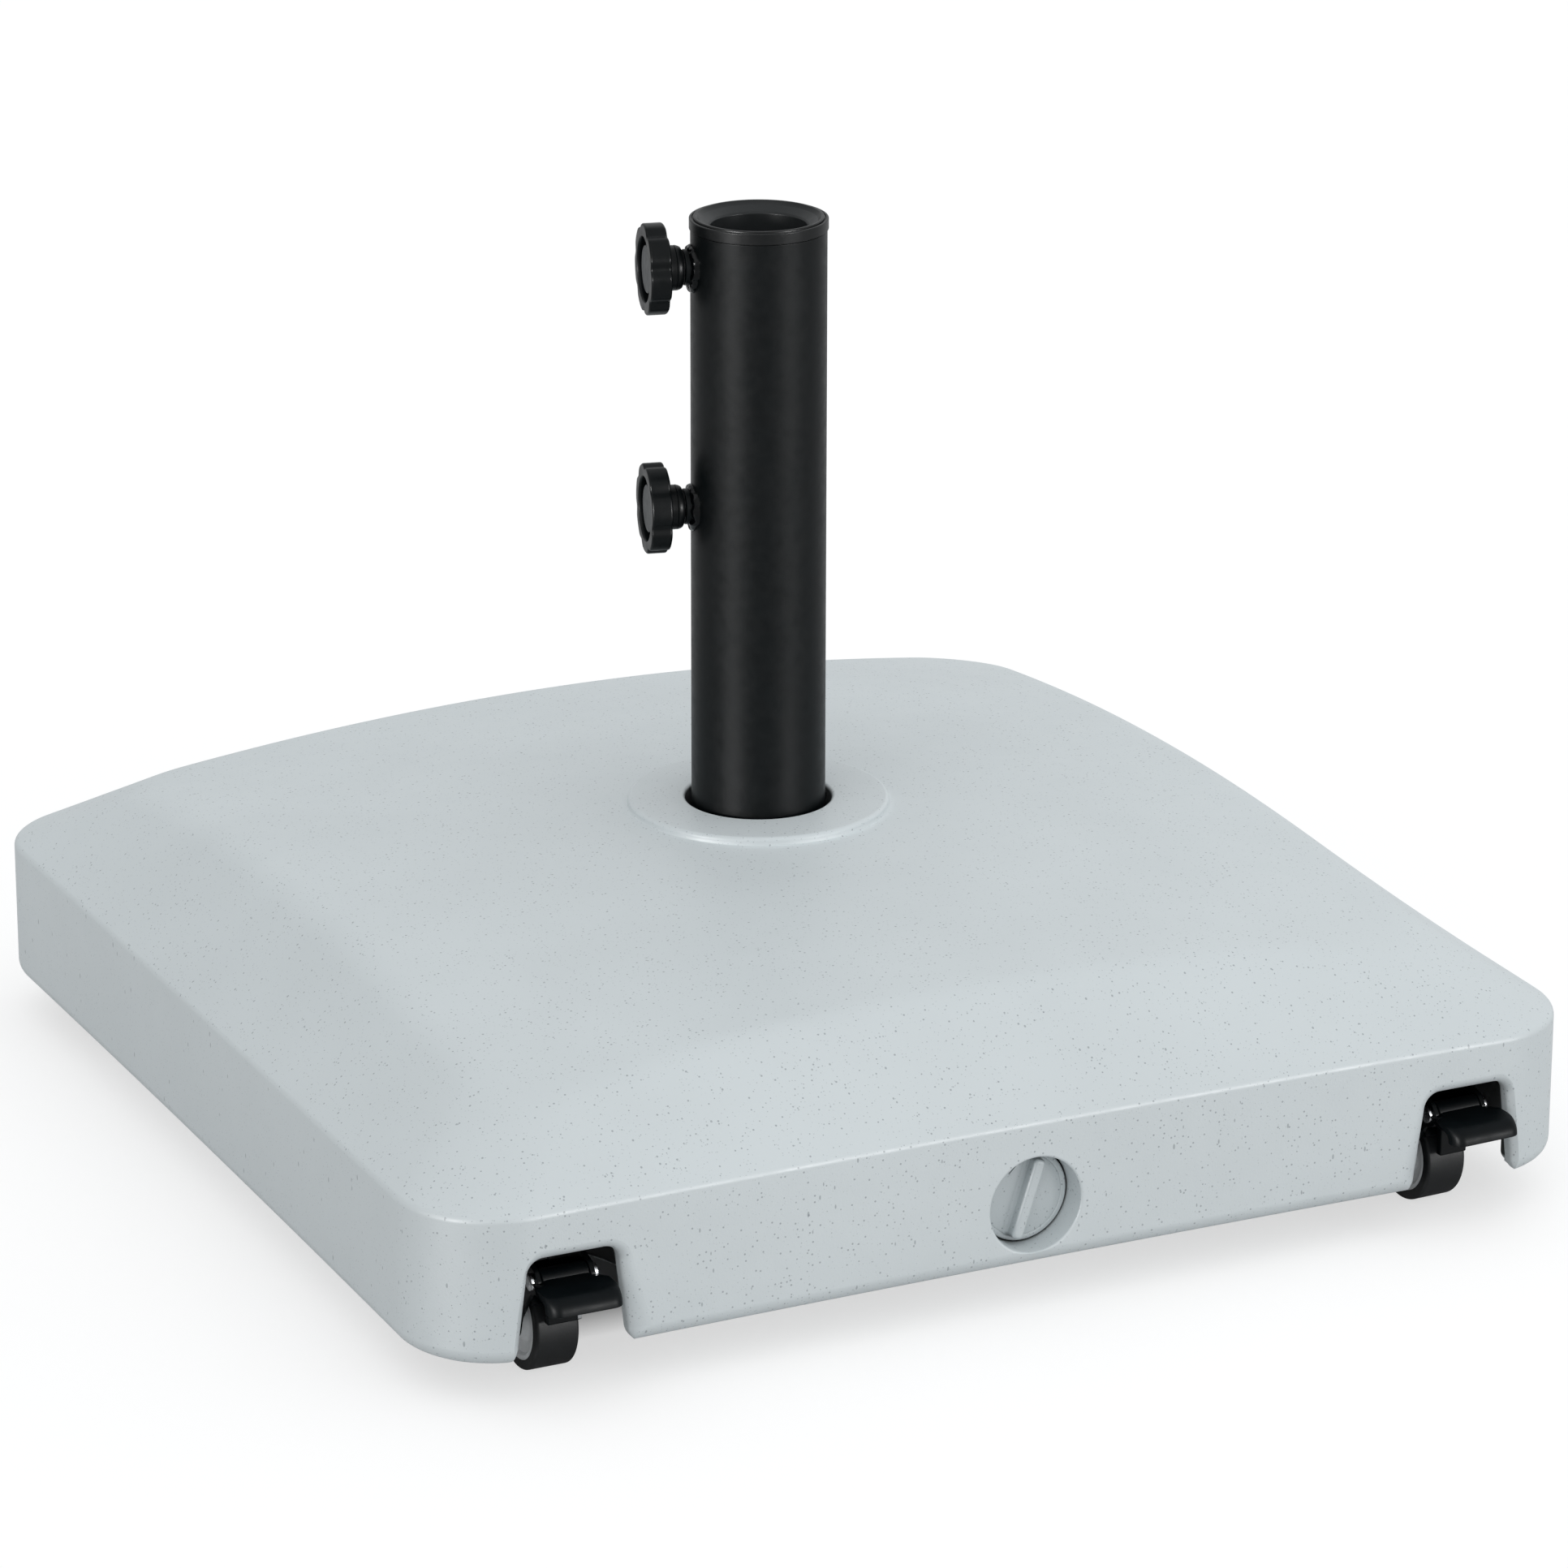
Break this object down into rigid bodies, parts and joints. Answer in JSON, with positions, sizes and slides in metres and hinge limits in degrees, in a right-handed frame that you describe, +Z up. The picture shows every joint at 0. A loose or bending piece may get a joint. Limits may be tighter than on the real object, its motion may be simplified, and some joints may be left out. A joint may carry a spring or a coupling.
{
  "type": "parasol base",
  "caption": "Square parasol base: a fillable tank on swivel casters, with an upright tube that clamps the pole by side knobs.",
  "frame": {"origin": "on the floor, on the axis of the mast tube", "axes": "+Z up along the mast; -Y is the side with the filler plug and brake pedals; +X to the right seen from that side"},
  "size_m": [0.5, 0.5124, 0.3782],
  "materials": {
    "tank": "pale grey moulded plastic, flecked, satin",
    "powder_coat": "black powder coat, satin",
    "black_plastic": "black moulded plastic, fine grain",
    "grey_plastic": "grey moulded plastic, satin",
    "zinc_steel": "bright zinc plate",
    "rubber": "black rubber, matt"
  },
  "bodies": {
    "base": {"tank": "tank", "mast_tube": "powder_coat", "mast_flange": "powder_coat", "flange_screws": "zinc_steel", "clamp_nuts": "powder_coat", "weld_beads": "powder_coat", "mast_cap": "black_plastic", "caster_plates": "powder_coat", "plate_screws": "zinc_steel", "kingpins": "zinc_steel"},
    "seal": {"plug_seal": "rubber"},
    "plug": {"plug": "tank"},
    "screw_hi": {"screw_upper": "zinc_steel"},
    "knob_hi": {"knob_upper": "black_plastic", "knob_upper_face": "grey_plastic"},
    "screw_lo": {"screw_lower": "zinc_steel"},
    "knob_lo": {"knob_lower": "black_plastic", "knob_lower_face": "grey_plastic"},
    "swivel_fl": {"fork_fl": "powder_coat", "axle_fl": "zinc_steel", "nut_fl": "zinc_steel", "brake_pin_fl": "zinc_steel"},
    "wheel_fl": {"hub_fl": "grey_plastic", "tyre_fl": "rubber"},
    "pedal_fl": {"brake_fl": "powder_coat"},
    "swivel_fr": {"fork_fr": "powder_coat", "axle_fr": "zinc_steel", "nut_fr": "zinc_steel", "brake_pin_fr": "zinc_steel"},
    "wheel_fr": {"hub_fr": "grey_plastic", "tyre_fr": "rubber"},
    "pedal_fr": {"brake_fr": "powder_coat"},
    "swivel_rl": {"fork_rl": "powder_coat", "axle_rl": "zinc_steel", "nut_rl": "zinc_steel"},
    "wheel_rl": {"hub_rl": "grey_plastic", "tyre_rl": "rubber"},
    "swivel_rr": {"fork_rr": "powder_coat", "axle_rr": "zinc_steel", "nut_rr": "zinc_steel"},
    "wheel_rr": {"hub_rr": "grey_plastic", "tyre_rr": "rubber"}
  },
  "joints": [
    {"name": "plug_out", "type": "slide", "parent": "base", "child": "seal", "axis": [0, -1, 0], "range_m": [0, 0.018]},
    {"name": "plug_turn", "type": "hinge", "parent": "seal", "child": "plug", "pos_m": [0, -0.235, 0.0442], "axis": [0, -1, 0], "range_deg": [0, 1080]},
    {"name": "screw_hi_out", "type": "slide", "parent": "base", "child": "screw_hi", "axis": [-0.9724, 0.2334, 0], "range_m": [-0.0006, 0.0096]},
    {"name": "knob_hi_turn", "type": "hinge", "parent": "screw_hi", "child": "knob_hi", "pos_m": [-0.03889, 0.00934, 0.3584], "axis": [-0.9724, 0.2334, 0], "range_deg": [-170, 2736]},
    {"name": "screw_lo_out", "type": "slide", "parent": "base", "child": "screw_lo", "axis": [-0.9724, 0.2334, 0], "range_m": [-0.0006, 0.0096]},
    {"name": "knob_lo_turn", "type": "hinge", "parent": "screw_lo", "child": "knob_lo", "pos_m": [-0.03889, 0.00934, 0.2584], "axis": [-0.9724, 0.2334, 0], "range_deg": [-170, 2736]},
    {"name": "swivel_fl", "type": "hinge", "parent": "base", "child": "swivel_fl", "pos_m": [-0.1935, -0.1935, 0.05], "axis": [0, 0, 1], "range_deg": [-4, 4]},
    {"name": "wheel_fl_spin", "type": "hinge", "parent": "swivel_fl", "child": "wheel_fl", "pos_m": [-0.1935, -0.2125, 0.02], "axis": [1, 0, 0], "continuous": true},
    {"name": "brake_fl_press", "type": "hinge", "parent": "swivel_fl", "child": "pedal_fl", "pos_m": [-0.1935, -0.236, 0.045], "axis": [1, 0, 0], "range_deg": [0, 5.5]},
    {"name": "swivel_fr", "type": "hinge", "parent": "base", "child": "swivel_fr", "pos_m": [0.1935, -0.1935, 0.05], "axis": [0, 0, 1], "range_deg": [-6.5, 1.5]},
    {"name": "wheel_fr_spin", "type": "hinge", "parent": "swivel_fr", "child": "wheel_fr", "pos_m": [0.19433, -0.21248, 0.02], "axis": [0.999, 0.0436, 0], "continuous": true},
    {"name": "brake_fr_press", "type": "hinge", "parent": "swivel_fr", "child": "pedal_fr", "pos_m": [0.19535, -0.23596, 0.045], "axis": [0.999, 0.0436, 0], "range_deg": [0, 5.5]},
    {"name": "swivel_rl", "type": "hinge", "parent": "base", "child": "swivel_rl", "pos_m": [-0.1935, 0.1935, 0.05], "axis": [0, 0, 1], "continuous": true},
    {"name": "wheel_rl_spin", "type": "hinge", "parent": "swivel_rl", "child": "wheel_rl", "pos_m": [-0.1935, 0.1745, 0.02], "axis": [1, 0, 0], "continuous": true},
    {"name": "swivel_rr", "type": "hinge", "parent": "base", "child": "swivel_rr", "pos_m": [0.1935, 0.1935, 0.05], "axis": [0, 0, 1], "continuous": true},
    {"name": "wheel_rr_spin", "type": "hinge", "parent": "swivel_rr", "child": "wheel_rr", "pos_m": [0.1935, 0.1745, 0.02], "axis": [1, 0, 0], "continuous": true}
  ],
  "couplings": [
    {"joint": "plug_out", "follows": "plug_turn", "m_per_rad": 0.00095493},
    {"joint": "screw_hi_out", "follows": "knob_hi_turn", "m_per_rad": 0.00019894},
    {"joint": "screw_lo_out", "follows": "knob_lo_turn", "m_per_rad": 0.00019894}
  ]
}
